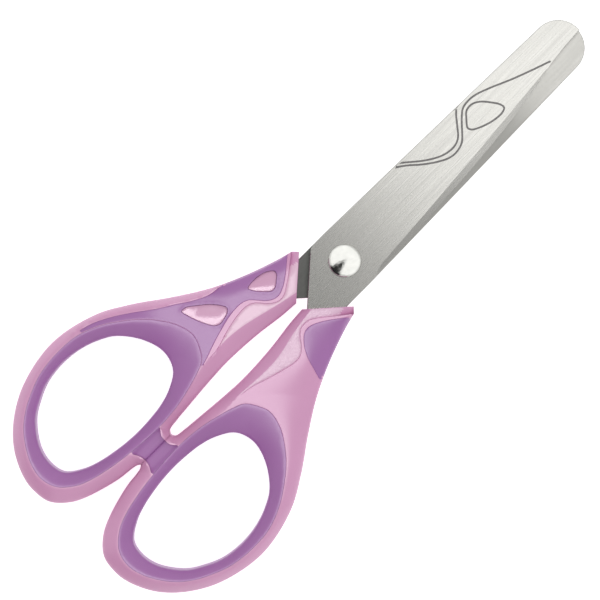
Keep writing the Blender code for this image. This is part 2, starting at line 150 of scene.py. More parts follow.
# fmt: off
# Outlines, counter-clockwise from above
NECK_INNER = (-11.7, 0.75)
NECK_OUTER = (-4.7, 7)
NECK_SHOULDER = (-5.6, 8)
OUTER_EDGE = [
    NECK_SHOULDER, (-9, 8.95), (-15, 11.1), (-21, 13.9), (-27, 17.65), (-33, 21.85), (-39, 25.15),
    (-48, 27.045), (-57, 25.4), (-63, 22), (-66.8, 18), (-69, 13.3), (-HANDLE_REACH, 10.1), (-68.75, 6.9),
    (-66.2, 4.2), (-63, 2.6), (-57, 0.95), (-54, 0.6), (-52.9, 0.38), (-52.3, 0.004),
]
GAP_EDGE = [
    (-44.6, 0.004), (-44.2, 0.7), (-42, 1.08), (-39, 1.35), (-33, 1.85), (-28, 2.08), (-21, 1.72),
    (-15, 0.97), NECK_INNER,
]
RIDGE = [
    (-28.9, 9.8), (-29.5, 12.8), (-31, 15.5), (-33.5, 18.5), (-36.7, 21.1), (-39.9, 23.1), (-44, 24.65),
    (-48, 25), (-51, 24.85), (-54, 24.3), (-57, 23.15), (-60, 21.6), (-63, 19.1), (-65.9, 14.6), (-66.7, 11),
    (-65.8, 8), (-63, 5.5), (-60, 4.3), (-57, 3.6), (-54, 3.1), (-49, 2.6), (-45, 2.45), (-42, 2.6), (-39, 3),
    (-36, 3.7), (-33, 4.6), (-31.1, 5.5), (-29.7, 7.5),
]
FINGER_HOLE = [
    (-34.9, 11.5), (-36, 15.6), (-39, 19.65), (-42, 21.45), (-45, 22.5), (-48, 22.98), (-51, 22.95),
    (-54, 22.4), (-57, 21.1), (-60, 19.15), (-63, 15), (-63.7, 11.6), (-63, 8.9), (-60, 6.75), (-57, 5.7),
    (-54, 5.1), (-51, 4.72), (-48, 4.6), (-45, 4.75), (-42, 5.15), (-39, 6.1), (-36, 8.1),
]
# The closing stop's two sides, away from the other half
STOP_LEFT = [(-51.05, 0.004), (-51.2, 1.1), (-51.85, 2.3)]
STOP_RIGHT = [(-45.95, 0.004), (-45.85, 1.1), (-45, 2.2)]
# The height of its face at distances from the line where the two stops meet
STOP_PROFILE = [
    (0, 2.75), (0.15, 3), (0.5, 3.12), (1, 3.23), (1.5, 3.34), (1.95, 3.46), (2.25, 3.65), (2.6, 3.9),
    (3, 3.95),
]
COVER_RIM = [
    (-17.5, 12.6), (-20.5, 12.75), (-22.1, 13.1), (-24.9, 14.5), (-27.3, 16.1), (-30.3, 17.95), (-33.5, 20.3),
    (-36.7, 22.4), (-39.95, 24.1), (-42.2, 24.8), (-44, 25.1),
]
COVER_GAP = [
    (-34, 4.1), (-30.4, 5.1), (-27.7, 6.05), (-24.9, 6.9), (-22.1, 7.6), (-20.4, 7.82), (-18.8, 7.8),
    (-17.4, 7.3), (-16.3, 6.2), (-15.2, 4.95), (-14.05, 4.2), (-12.9, 4), (-11.6, 4.4), (-9.6, 5.65),
    (-6.3, 8.35),
]
PAD_RIM = [
    (-18.7, 12.9), (-17.8, 9.8), (-17.1, 7.55), (-16, 5.6), (-14.6, 4.2), (-13.5, 3.85), (-12.1, 4.15),
    (-10.4, 5.05), (-8.2, 6.6), (-6.2, 8.2),
]
LARGE_WINDOW = [
    (-27.4, 14.4), (-27.3, 13.55), (-26.8, 11.9), (-26, 9.95), (-25.05, 8.4), (-24.05, 7.85), (-22.7, 8.05),
    (-21.6, 8.4), (-21.1, 9.1), (-21.6, 10.2), (-22.9, 11.75), (-24.9, 13.4), (-26.4, 14.4),
]
SMALL_WINDOW = [
    (-15.95, 8.85), (-15.45, 7.7), (-14.3, 6.35), (-13.2, 5.45), (-12.4, 5.45), (-11.3, 6.2), (-10.45, 7),
    (-10.3, 7.7), (-11.3, 8.55), (-12.95, 9.1), (-15.2, 9.1),
]
# The step between the raised rim beside a soft piece and the flat facet on the gap side
WINDOW_STEP = [
    (-29.5, 4.7), (-27.5, 5), (-25, 5.75), (-23, 6.3), (-20.4, 6.75), (-18.2, 6.7), (-16.8, 6), (-15.4, 4.4),
    (-13.8, 3.35), (-12.3, 3.35), (-9.9, 4.75), (-6.4, 7.4), (-5.3, 8.3),
]
PAD_STEP = [
    (-31.5, 3.6), (-30.4, 3.75), (-27.7, 4.3), (-24.9, 5.2), (-22.1, 6), (-19.3, 6.6), (-17.9, 6.45),
    (-16.6, 5.5), (-15.2, 3.7), (-14.1, 2.97), (-12.4, 2.97), (-11, 3.67), (-8.2, 5.9), (-6, 7.6),
    (-5.2, 8.2),
]
# Where the slope along the gap side ends
WINDOW_BAND = [
    (-45, 2.45), (-42, 2.6), (-39, 3), (-36, 3.7), (-33.2, 4.25), (-30.4, 4.75), (-27.5, 5), (-25, 5.05),
    (-22, 4.75), (-19.3, 4.2), (-16.5, 3.5), (-13.4, 2.75), (-10.2, 2.1),
]
PAD_BAND = [
    (-45, 2.45), (-42, 2.6), (-39, 3), (-36, 3.45), (-33, 3.6), (-30.4, 3.65), (-27, 3.85), (-24.9, 3.95),
    (-22, 3.9), (-19.3, 3.5), (-16.3, 2.8), (-13.4, 2.3), (-10.4, 1.9),
]

TANG = [
    (-10.9, 2.6), (-12.2, 3.3), (-17, 4.1), (-23.6, 6.3), (-24.6, 8), (-23.8, 9.9), (-14, 7.6), (-10.2, 7.5),
    (-7.2, 6.1),
]
HEEL_DIAGONAL_END = (-11.35, 1.62)
HEEL_CORNER = [(-3.9, -5), (-2.7, -5.95), (-1.2, -HEEL_HALF)]
CUTTING_EDGE = [
    (TIP_REACH - 0.03, 0.5), (52.4, 1.1), (46, 2.3), (40, 3.3), (30, 4.3), (20, 5), (10, 5.6), (6, 5.83),
    (2.2, 6),
]
HEEL_SHOULDER = (-6.3, HEEL_HALF)
SPINE_ENDS = (1, -HEEL_HALF), (TIP_REACH - TIP_RADIUS, -TIP_RADIUS)
BEVEL_TOP = [
    (2.2, 6), (3.4, 5.35), (5.8, 5.02), (11.7, 4.58), (17.5, 4.16), (23.4, 3.68), (30, 3.15), (40, 2.25),
    (52.4, 1.1),
]

# A plain wave ornament etched in the outer face of each blade
LONG_WAVE = [
    (18.4, -5.5), (20, -4.4), (22.5, -2.25), (25, -0.55), (26.6, 0.2), (28.2, 0.4), (30.1, -0.1),
    (31.7, -1.6), (33.1, -3.1), (34.7, -4.4), (36.3, -4.7), (38.1, -4.5), (40.9, -3.5), (44.6, -1.9),
    (48.3, -0.5), (52, 0.8),
]
SHORT_WAVE = [
    (19.6, -5.5), (20.9, -4.4), (23, -2.7), (25.3, -1.3), (27.1, -0.7), (28.9, -0.65), (30.3, -1.25),
    (31.7, -2.85), (32.8, -4.2), (33.7, -5.15),
]
DROP = [
    (36.3, -3.8), (34.9, -3.65), (33.8, -2.6), (32.8, -1.25), (33.1, -0.55), (34.5, 0.25), (36.8, 1),
    (39.1, 1.2), (40.1, 0.8), (40, -0.1), (39.1, -1.5), (37.7, -3.1),
]
# fmt: on


# Lines in the plane

TINY = 1e-6
SAME_POINT = 0.02  # points nearer than this are one


def lengths(vectors):
    return np.linalg.norm(vectors, axis=1)


def unit(vectors):
    """The vectors, each made 1 long."""
    return vectors / lengths(vectors)[:, None]


def spline_points(p0, p1, p2, p3, count):
    """Points on a centripetal Catmull-Rom span from p1 to p2, the last one left out."""
    roots = [max(np.linalg.norm(b - a) ** 0.5, TINY) for a, b in ((p0, p1), (p1, p2), (p2, p3))]
    knots = np.cumsum([0.0, *roots])
    t = np.linspace(knots[1], knots[2], count, endpoint=False)[:, None]

    def blend(a, b, start, end):
        return a * (end - t) / (end - start) + b * (t - start) / (end - start)

    before = blend(p0, p1, knots[0], knots[1])
    here = blend(p1, p2, knots[1], knots[2])
    after = blend(p2, p3, knots[2], knots[3])
    first, second = blend(before, here, knots[0], knots[2]), blend(here, after, knots[1], knots[3])
    return blend(first, second, knots[1], knots[2])


def spans(p, spacing):
    """The spans between the second point and the last but one, with points about a spacing apart."""
    counts = [max(1, round(np.linalg.norm(b - a) / spacing)) for a, b in zip(p[1:-2], p[2:-1])]
    return [spline_points(*p[i : i + 4], count) for i, count in enumerate(counts)]


def run(points, spacing=SPACING):
    """A smooth run through the points, from the first to the last."""
    p = list(np.array(points, float))
    p = [2 * p[0] - p[1], *p, 2 * p[-1] - p[-2]]
    return np.concatenate([*spans(p, spacing), p[-2][None]])


def loop(points, spacing=SPACING):
    """A smooth closed loop through the points."""
    p = list(np.array(points, float))
    return np.concatenate(spans([p[-1], *p, p[0], p[1]], spacing))


def joined(*runs):
    """One outline from runs that meet in corners, each corner kept once."""
    points = np.concatenate([np.array(r, float) for r in runs])
    return points[lengths(points - np.roll(points, 1, axis=0)) > SAME_POINT]


def joined_open(*runs):
    """One open line from runs that meet."""
    points = np.concatenate(runs)
    apart = lengths(np.diff(points, axis=0)) > SAME_POINT
    return points[np.concatenate([[True], apart])]


def straight(start, end, spacing=SPACING):
    start, end = np.array(start, float), np.array(end, float)
    count = max(1, round(np.linalg.norm(end - start) / spacing))
    return start + np.linspace(0, 1, count + 1)[:, None] * (end - start)


def arc(centre, radius, start_deg, end_deg, steps):
    angles = np.radians(np.linspace(start_deg, end_deg, steps + 1))
    return np.array(centre) + radius * np.stack([np.cos(angles), np.sin(angles)], axis=1)


def normals(outline):
    """Unit vectors that point out of a counter-clockwise outline, and the mitre length at each point."""
    to_here = unit(outline - np.roll(outline, 1, axis=0))
    to_next = unit(np.roll(outline, -1, axis=0) - outline)
    along = unit(to_here + to_next)
    mitre = 1 / np.maximum((along * to_here).sum(axis=1), 0.6)
    return np.stack([along[:, 1], -along[:, 0]], axis=1), mitre


def inset(outline, amount):
    """The outline drawn in by an amount, or by one for each point."""
    out, mitre = normals(outline)
    return outline - (amount * mitre)[:, None] * out


def beside(line, amount):
    """An open line moved to its left."""
    tangent = unit(np.gradient(line, axis=0))
    return line + amount * np.stack([-tangent[:, 1], tangent[:, 0]], axis=1)


def distance(points, line, closed=False):
    """How far each point is from a line."""
    start = line if closed else line[:-1]
    along = (np.roll(line, -1, axis=0) if closed else line[1:]) - start
    length = np.maximum((along**2).sum(axis=1), 1e-12)
    found = []
    for some in np.array_split(points[:, :2], len(points) // 1500 + 1):
        p = some[:, None] - start
        t = np.clip((p * along).sum(axis=2) / length, 0, 1)
        found.append(np.sqrt(((p - t[..., None] * along) ** 2).sum(axis=2)).min(axis=1))
    return np.concatenate(found)


def inside(points, outline):
    """Which points lie in the outline, whichever way it turns."""
    x, y = points[:, 0], points[:, 1]
    within = np.zeros(len(points), bool)
    for (x0, y0), (x1, y1) in zip(outline, np.roll(outline, -1, axis=0)):
        if y0 != y1:
            within ^= ((y0 > y) != (y1 > y)) & (x < (x1 - x0) * (y - y0) / (y1 - y0) + x0)
    return within


def smoothstep(low, high, x):
    t = np.clip((x - low) / (high - low), 0, 1)
    return t * t * (3 - 2 * t)


def falling(gap, reach, power=1):
    """1 on a line, falling to 0 at a reach from it."""
    return np.clip(1 - gap / reach, 0, 1) ** power


# The handle's lines and the height of its two faces

OUTER = run(OUTER_EDGE)
GAP_SIDE = run(GAP_EDGE)
NECK_END = straight(NECK_INNER, NECK_OUTER)
RIDGE_LOOP = loop(RIDGE)
RING_SEAT = inset(RIDGE_LOOP, -SEAM)
HOLE_LOOP = loop(FINGER_HOLE)
STOP_SIDES = run(STOP_LEFT), run(STOP_RIGHT)
STOP_LINE = run(STOP_PROFILE, 0.05)


class Face:
    """One face of a handle: its lines, and the areas that they bound. Only the window face has a cover's rim.

    The corners written here only close the areas.
    """

    def __init__(self, step, band, rim=None):
        self.step, self.band = run(step), run(band)
        past_end, below = (-2.0, 7.0), (-9.0, -3.0)
        self.facet = np.concatenate([self.step, [(-4.0, 9.5), past_end, below, (step[0][0], -3.0)]])
        self.slope = np.concatenate([self.band, [(-8.0, 1.2), below, (-44.9, -3.0)]])
        self.crest = [self.step, self.band[self.band[:, 0] < -29]]
        self.rim = None
        if rim:
            self.rim = run(rim)
            self.crest = [self.rim]
            self.inner = np.concatenate([self.rim, [(-50, 14), (-37, 3.2)], self.step, [(0, 20), (-16, 20)]])


WINDOW_FACE = Face(WINDOW_STEP, WINDOW_BAND, COVER_RIM)
PAD_FACE = Face(PAD_STEP, PAD_BAND)


def signed_step(points, face):
    """Distance from the step line, above zero on the facet's side."""
    return distance(points, face.step) * np.where(inside(points, face.facet), 1, -1)


def surface(points, face):
    """Height of a handle's finished face above the middle plane, the soft neck pieces included."""
    x, y = points.T
    top = RING_TOP - (RING_TOP - NECK_TOP) * smoothstep(*TOP_LOWERS, x)
    edge = RING_EDGE - (RING_EDGE - NECK_EDGE) * smoothstep(*EDGE_LOWERS, x)
    step = STEP_HEIGHT * smoothstep(*STEP_RISES, x)
    d_outer, d_gap = distance(points, OUTER), distance(points, GAP_SIDE)
    d_stops = [distance(points, side) for side in STOP_SIDES]
    d_ring = np.minimum.reduce([distance(points, RIDGE_LOOP, closed=True), *d_stops])

    # The slope between the ridge and the outer edge, steep round the ring and a broad crown over the neck
    d_crest = np.minimum.reduce([d_ring] + [distance(points, line) for line in face.crest])
    d_edge = np.where(y < 4, np.minimum(d_outer, d_gap), d_outer)
    d_crest = np.maximum(d_crest - CREST_WIDTH * (d_crest < d_ring + TINY), 0)
    u = d_crest / np.maximum(d_crest + d_edge, TINY)
    power = SLOPE_POWER
    if face.rim is None:
        power = SLOPE_POWER + CROWN_POWER * smoothstep(*CROWN_GROWS, x)
    height = top - (top - edge) * u**power
    if face.rim is not None:
        tail = TAIL_FALL * smoothstep(*TAIL_STARTS, -x) * (1 - smoothstep(*TAIL_ENDS, -x)) * (y > 12)
        height -= tail * (1 - u)
        cover = top - tail * d_ring / np.maximum(d_ring + distance(points, face.rim), TINY)
        roll = COVER_ROLL * smoothstep(*COVER_ROLLS, x) * falling(d_outer, COVER_ROLL_REACH, 2.2)
        height = np.where(inside(points, face.inner), cover - roll, height)

    # The slope along the gap side, and the flat facet in front of it
    base = top - step
    d_band = np.minimum(distance(points, face.band), d_ring)
    u = d_band / np.maximum(d_band + d_gap, TINY)
    slope = base - (base - edge) * u**SLOPE_POWER
    flat = base - FACET_ROLL * falling(d_outer, FACET_ROLL_REACH, 1.25)
    facet = np.where(inside(points, face.slope), slope, flat)
    facet -= END_ROLL * falling(distance(points, NECK_END), END_ROLL_REACH, 2)

    # The step between the two, with a fine groove at its foot
    s = signed_step(points, face)
    fade = smoothstep(*GROOVE_STARTS, x)
    on_facet = (s > 0) | inside(points, face.slope)
    facet -= GROOVE * fade * falling(s, GROOVE_WIDTH) * (s > -0.01)
    foot = np.minimum(height, facet)
    height = np.where(on_facet, facet, height)
    on_wall = ~on_facet & (s > -STEP_WIDTH) & (fade > 0)
    return np.where(on_wall, foot + (height - foot) * np.clip(-s / STEP_WIDTH, 0, 1), height)


def window_swelling(points, window):
    """How far a soft face swells towards the rim of a window in it."""
    return 0.12 * falling(distance(points, window, closed=True), 0.7, 1.5)


# Solids


def sheet(loops, lines, spacing):
    """Points and triangles over what the loops enclose. The loops' own points come first, in their order."""
    fixed = np.concatenate([*loops, *lines])
    edges, start = [], 0
    for number, line in enumerate([*loops, *lines]):
        index = list(range(start, start + len(line)))
        back_to_start = index[:1] if number < len(loops) else []
        edges += zip(index, index[1:] + back_to_start)
        start += len(line)
    low, high = loops[0].min(axis=0), loops[0].max(axis=0)
    columns = np.arange(low[0], high[0], spacing)
    rows = np.arange(low[1], high[1], spacing * math.sqrt(0.75))
    x, y = np.meshgrid(columns, rows)
    x[1::2] += spacing / 2
    grid = np.stack([x.ravel(), y.ravel()], axis=1)
    grid = grid[within_loops(grid, loops)]
    grid = grid[cloud_distance(grid, fixed) > 0.6 * spacing]
    points = np.concatenate([fixed, grid])
    made = delaunay_2d_cdt([Vector(p) for p in points.tolist()], edges, [], 0, 1e-7)
    placed = np.array([tuple(v) for v in made[0]])
    rim = sum(len(line) for line in loops)
    if len(placed) < rim or abs(placed[:rim] - points[:rim]).max() > 1e-4:
        raise RuntimeError("a face's outline changed when it was triangulated")
    triangles = np.array(made[2])
    corners = placed[triangles]
    (ax, ay), (bx, by) = (corners[:, 1] - corners[:, 0]).T, (corners[:, 2] - corners[:, 0]).T
    doubled = ax * by - ay * bx
    triangles[doubled < 0] = triangles[doubled < 0][:, ::-1]
    kept = within_loops(corners.mean(axis=1), loops) & (abs(doubled) > TINY)
    return placed, triangles[kept]


def within_loops(points, loops):
    """Which points lie in the first loop and in none of the others, which are its holes."""
    within = inside(points, loops[0])
    for hole in loops[1:]:
        within &= ~inside(points, hole)
    return within


def cloud_distance(points, cloud):
    """How far each point is from the nearest one of a cloud."""
    found = [
        np.sqrt(((some[:, None] - cloud) ** 2).sum(axis=2)).min(axis=1)
        for some in np.array_split(points, len(points) // 1000 + 1)
    ]
    return np.concatenate(found)


def clear_of(line, loops):
    """The stretch of a line that lies inside the loops and clear of them."""
    kept = within_loops(line, loops)
    for outline in loops:
        kept &= distance(line, outline, closed=True) > 0.12
    return line[kept]


def rounded_rows(outline, height, radius, upright):
    """Rows of (inset, height) from a face over a rounded edge to an upright side that starts at `upright`."""
    radius = np.broadcast_to(np.asarray(radius, float), len(outline))
    at_edge = inset(outline, radius)
    start = height(at_edge)
    slope = np.clip((height(inset(outline, radius + 0.12)) - start) / 0.12, 0, 1.6)
    upright = np.minimum(upright, start - slope * radius - 0.7 * radius)
    rows = []
    for t in np.linspace(0, 1, 5):
        level = (1 - t) ** 2 * start + 2 * t * (1 - t) * (start - slope * radius) + t * t * upright
        rows.append((radius * (1 - t) ** 2, level))
    return rows


def downward(rows):
    """The same rows on the other side of the middle plane, from there down."""
    return [(amount, -level) for amount, level in rows[::-1]]


def plate(edges, top, bottom, top_lines=(), bottom_lines=(), spacing=GRID):
    """The points and faces of a solid between two faces.

    edges lists each outline with its wall's rows from the top down. A face's triangles keep to its lines.
    """
    points, faces, rims = [], [], []
    start = 0
    for outline, rows in edges:
        count = len(outline)
        levels = [np.column_stack([inset(outline, amount), level]) for amount, level in rows]
        points += levels
        index = start + np.arange(count)
        for k in range(len(rows) - 1):
            a, b = index + k * count, index + (k + 1) * count
            faces += np.column_stack([a, b, np.roll(b, -1), np.roll(a, -1)]).tolist()
        rims.append((index, index + (len(rows) - 1) * count, levels[0][:, :2], levels[-1][:, :2]))
        start += len(rows) * count
    for side, height, lines in ((0, top, top_lines), (1, bottom, bottom_lines)):
        loops = [rim[2 + side] for rim in rims]
        kept = [clear_of(line, loops) for line in lines]
        flat, triangles = sheet(loops, [line for line in kept if len(line)], spacing)
        rim_index = np.concatenate([rim[side] for rim in rims])
        extra = flat[len(rim_index) :]
        index = np.concatenate([rim_index, start + np.arange(len(extra))])
        points.append(np.column_stack([extra, height(extra)]))
        start += len(extra)
        faces += (index[triangles] if side == 0 else index[triangles][:, ::-1]).tolist()
    return np.concatenate(points), faces


def face_centres(shape):
    points, faces = shape
    return np.array([points[face].mean(axis=0) for face in faces])


def placed_object(name, data):
    obj = bpy.data.objects.new(name, data)
    bpy.context.scene.collection.objects.link(obj)
    return obj


def add_piece(name, shape, finish, half, replaces, sharp, more_finishes=(), marks=None):
    """A visible piece on one half, standing for its CAD node. The front half is the back one turned over.

    Edges that turn by more than `sharp` degrees stay sharp. `marks` holds the number of each face's finish.
    """
    points, faces = shape
    turned = points * ((1, -1, -1) if half == "front" else (1, 1, 1))
    mesh = bpy.data.meshes.new(name)
    mesh.from_pydata((turned * MM + PIVOT).tolist(), [], faces)
    for each in (finish, *more_finishes):
        mesh.materials.append(each)
    if marks is not None:
        mesh.polygons.foreach_set("material_index", marks.astype(np.int32))
    mesh.shade_smooth()
    mesh.set_sharp_from_angle(angle=math.radians(sharp))
    mesh.validate()
    piece = placed_object(name, mesh)
    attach(piece, half + "_half")
    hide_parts(replaces)
    group = {STEEL: "blades", POLISHED: "rivet"}.get(finish, "plastic")
    GROUPS[group].objects.link(piece)


# Pieces of one half


def near_ends(outline, places, reach):
    """1 away from the places, falling to 0 at them."""
    gap = np.min([lengths(outline - place) for place in places], axis=0)
    return np.clip(gap / reach, 0, 1)


def stop_corners():
    """Where the closing stop's two sides reach the finger ring's ridge, as places along it."""
    first = lengths(RIDGE_LOOP - (STOP_LEFT[-1][0] - 0.1, 2.75)).argmin()
    last = lengths(RIDGE_LOOP - (STOP_RIGHT[-1][0] + 0.15, 2.45)).argmin()
    return first, last


def handle_outline():
    """Counter-clockwise round the rigid handle, in at one side of the stop, round the ring, and out again."""
    first, last = stop_corners()
    backwards = np.roll(RING_SEAT[::-1], first + 1, axis=0)
    ring = backwards[: (first - last) % len(RING_SEAT) + 1]
    return joined(NECK_END, OUTER, run(STOP_LEFT), ring, run(STOP_RIGHT)[::-1], GAP_SIDE)


def beyond(point):
    """A point 2.5 mm straight out of the silhouette from one on it."""
    nearest = lengths(OUTER - point).argmin()
    out = beside(OUTER, -2.5)[nearest] - OUTER[nearest]
    return point + out


def silhouette_part(start_x, amount):
    """The neck's outer edge from the shoulder back to start_x, drawn in by an amount."""
    edge = beside(OUTER, amount)
    return edge[(edge[:, 0] > start_x) & (edge[:, 0] < -6.3) & (edge[:, 1] > 8)]


COVER_EDGE, PAD_EDGE = silhouette_part(-18.6, 0.1), silhouette_part(-17.9, 0.04)


def cover_sides():
    """The cover's edges that lie on the handle: along the rim, the finger ring and the facet."""
    rim, gap = run(COVER_RIM), run(COVER_GAP)
    rim = rim[(rim[:, 0] > -43.2) & (rim[:, 0] < -19.3)]
    gap = gap[(gap[:, 0] > -31.9) & (gap[:, 0] < -7.0)]
    return up_to(COVER_EDGE, joined_open(rim, inner_ridge(), gap))


def pad_side():
    """The pad's edge that lies on the handle."""
    rim = run(PAD_RIM)
    rim = rim[(distance(rim, OUTER) > 0.2) & (rim[:, 1] < 12.3) & (rim[:, 0] < -7.0)]
    return up_to(PAD_EDGE, rim)


def up_to(edge, side):
    """A side with straight ends that close it against a soft piece's outer edge."""
    return joined_open(straight(edge[-1], side[0], 0.2), side, straight(side[-1], edge[0], 0.2))


def seat(side):
    """The area that a soft piece covers, grown by its seam and drawn on past the silhouette."""
    wider = beside(side, -SEAM)
    return np.concatenate([wider, [beyond(wider[-1]), beyond(wider[0])]])


def inner_ridge():
    """The finger ring's ridge between the cover's two ends, from the outer one to the one by the gap."""
    x, y = RING_SEAT.T
    kept = (x > -43.3) & ~((x < -32.4) & (y < 10))
    after_gap = np.flatnonzero(~kept)[-1] + 1
    line, kept = np.roll(RING_SEAT, -after_gap, axis=0), np.roll(kept, -after_gap)
    return line[kept][::-1]


def core_shape():
    """The rigid handle with its seats, and each face's finish: 0 moulded, 1 satin and 2 frosted, both lighter
    pinks that carry painted sheen on the flat facets.
    """
    outline = handle_outline()
    ends = [STOP_LEFT[0], OUTER_EDGE[-1], STOP_RIGHT[0], GAP_EDGE[0], NECK_INNER, NECK_OUTER, NECK_SHOULDER]
    ends += [STOP_LEFT[-1], STOP_RIGHT[-1], *RIDGE_LOOP[list(stop_corners())]]
    on_edge = np.minimum(distance(outline, OUTER), distance(outline, GAP_SIDE)) < 0.01
    radius = np.where(on_edge, SILHOUETTE_ROUND, SEAM_ROUND) * (0.15 + 0.85 * near_ends(outline, ends, 1.6))
    upright = np.where(on_edge, SIDE, SEAM_SIDE)

    def wall(face, side):
        """The edge's rows on one face. Where a soft piece wraps the edge, they sink under its skirt."""
        rows = rounded_rows(outline, lambda p: surface(p, face), radius, upright)
        under = inside(inset(outline, 0.3 * radius), seat(side)) & on_edge & (distance(outline, side) > 0.5)
        sunk = surface(inset(outline, radius), face) - POCKET
        hidden = [(0.6, sunk), (0.6, 0.3), (0.3, 0.27), (0.03, 0.24), (0.0, 0.15)]
        return [(np.where(under, a, b), np.where(under, c, d)) for (a, c), (b, d) in zip(hidden, rows)]

    def seated(points, face, side):
        depth = POCKET_EDGE + (POCKET - POCKET_EDGE) * smoothstep(0.15, 0.5, distance(points, side))
        return surface(points, face) - depth * inside(points, seat(side))

    def lines(side, step, band):
        return [*seat_lines(side), *step_lines(step), beside(run(band, 0.3), 0.02)]

    cover, pad = cover_sides(), pad_side()
    shape = plate(
        [(outline, wall(WINDOW_FACE, cover) + downward(wall(PAD_FACE, pad)))],
        lambda p: seated(p, WINDOW_FACE, cover),
        lambda p: -seated(p, PAD_FACE, pad),
        lines(cover, WINDOW_STEP, WINDOW_BAND),
        lines(pad, PAD_STEP, PAD_BAND),
    )
    centres = face_centres(shape)
    marks = np.zeros(len(centres))
    # The flat, up-facing neck facets take the lighter pinks, whose colour is painted sheen of the overhead
    # light.
    for face, level, finish in ((WINDOW_FACE, centres[:, 2], 1), (PAD_FACE, -centres[:, 2], 2)):
        flat = inside(centres, face.facet) & ~inside(centres, face.slope) & (level > 2.3)
        flat &= (distance(centres, face.step) > 0.02) & (distance(centres, OUTER) > 2.2)
        marks[flat & (distance(centres, NECK_END) > 0.1)] = finish
    return shape, marks


def seat_lines(side):
    """Single points in rows on both sides of a seat's wall, without those where a row folds over itself."""
    rows = [(abs(SEAM + amount), beside(side, -SEAM - amount)) for amount in (-0.05, 0.04, 0.2)]
    clear = [point for away, row in rows for point in row[distance(row, side) > 0.9 * away]]
    return [point[None] for point in clear]


def step_lines(step):
    """Lines along a step: on the rim and at its wall's top, at its foot, and on the groove's far side."""
    line = run(step, 0.3)
    return [beside(line, amount) for amount in (0.25, 0.09, 0.0, -0.17)]


def ring_height(points):
    """The soft finger ring's face, which dips from the ridge to the finger hole."""
    d_hole, d_ridge = distance(points, HOLE_LOOP, closed=True), distance(points, RIDGE_LOOP, closed=True)
    down = np.maximum(d_ridge - CREST_WIDTH, 0) / np.maximum(d_hole + d_ridge - CREST_WIDTH, TINY)
    return RING_TOP + 0.03 - RING_DIP * (0.55 * down + 0.45 * down**1.8)


def ring_shape():
    """The soft finger ring, whose outer side stands out in the middle as a tongue inside the handle."""
    outer, hole = inset(RIDGE_LOOP, SEAM), HOLE_LOOP[::-1]
    rim = rounded_rows(outer, ring_height, SEAM_ROUND, SEAM_SIDE)
    tongue = [(np.full(len(outer), -0.15), np.full(len(outer), level)) for level in (0.9, -0.9)]
    lip = rounded_rows(hole, ring_height, 0.18, SIDE)
    edges = [(outer, rim + tongue + downward(rim)), (hole, lip + downward(lip))]
    return plate(edges, ring_height, lambda p: -ring_height(p))


def soft_plate(edge, side, height, holes=()):
    """A soft neck piece: a thin plate whose edge on the silhouette runs down as a skirt."""
    outline = joined(edge, side)
    on_silhouette = distance(outline, edge) < 0.01
    corners = outline[on_silhouette][[0, -1]]
    wrapped = 0.1 + (SILHOUETTE_ROUND - 0.1) * near_ends(outline, corners, 1.5)
    radius = np.where(on_silhouette, wrapped, SOFT_ROUND)
    radius *= 0.4 + 0.6 * near_ends(outline, corners, 0.7)
    rows = rounded_rows(outline, height, radius, np.where(on_silhouette, SIDE, SEAM_SIDE))
    under = height(inset(outline, radius)) - SOFT_THICK
    foot = np.where(on_silhouette, SKIRT_LOW, under + 0.02)
    rows += [(0 * radius, foot), (0.5 * radius, foot - 0.01)]
    rows += [(radius, np.where(on_silhouette, foot, under + 0.005)), (radius, under)]
    edges = [(outline, rows)]
    for hole in holes:
        small = np.full(len(hole), WINDOW_ROUND)
        lip = rounded_rows(hole, height, small, SEAM_SIDE)
        below = height(inset(hole, small)) - SOFT_THICK
        edges.append((hole, lip + [(0 * small, below + 0.02), (small, below)]))
    return plate(edges, height, lambda p: height(p) - SOFT_THICK, spacing=0.4)


def cover_shape():
    """The neck cover, on the window face."""
    windows = [loop(window, 0.25)[::-1] for window in (LARGE_WINDOW, SMALL_WINDOW)]

    def height(points):
        return surface(points, WINDOW_FACE) + sum(window_swelling(points, window) for window in windows)

    return soft_plate(COVER_EDGE, cover_sides(), height, windows)


def pad_shape():
    """The neck pad, drawn face up and turned over to the pad face."""
    points, faces = soft_plate(PAD_EDGE, pad_side(), lambda p: surface(p, PAD_FACE))
    return points * (1, 1, -1), [face[::-1] for face in faces]


def inlay_shape(window, fall, low, high, tip):
    """A glossy piece that fills a window. It rolls down towards the neck's outer edge, apart from its tip."""
    outline = inset(loop(window, 0.25), 0.04)

    def height(points):
        along = (points - window[0]) @ (0.6, -0.8)
        rise = np.clip(distance(points, outline, closed=True) / 0.8, 0, 1)
        roll = fall * smoothstep(low, high, points.sum(axis=1)) * smoothstep(0.2 * tip, tip, along)
        return surface(points, WINDOW_FACE) - 0.1 - roll + 0.06 * (1 - (1 - rise) ** 2)

    radius = np.full(len(outline), WINDOW_ROUND)
    rows = rounded_rows(outline, height, radius, SEAM_SIDE)
    floor = NECK_TOP - SOFT_THICK - 0.1
    rows += [(0 * radius, floor + 0 * radius), (radius, floor + 0 * radius)]
    return plate([(outline, rows)], height, lambda p: np.full(len(p), floor), spacing=0.3)


def stop_height(points):
    """The closing stop's face, which dips from the finger ring to the meeting line."""
    return np.interp(points[:, 1], *STOP_LINE.T)


def stop_shape():
    """The soft closing stop, between the meeting line and the finger ring."""
    left, right = beside(run(STOP_LEFT, 0.25), -SEAM), beside(run(STOP_RIGHT, 0.25), SEAM)
    left[0, 1] = right[0, 1] = STOP_LEFT[0][1]
    first, last = stop_corners()
    back = RING_SEAT[first : last + 1][::-1]
    outline = joined(straight(left[0], right[0], 0.3), right[1:], back, left[::-1])
    rows = rounded_rows(outline, stop_height, 0.08, SEAM_SIDE)
    return plate([(outline, rows + downward(rows))], stop_height, lambda p: -stop_height(p), spacing=0.16)


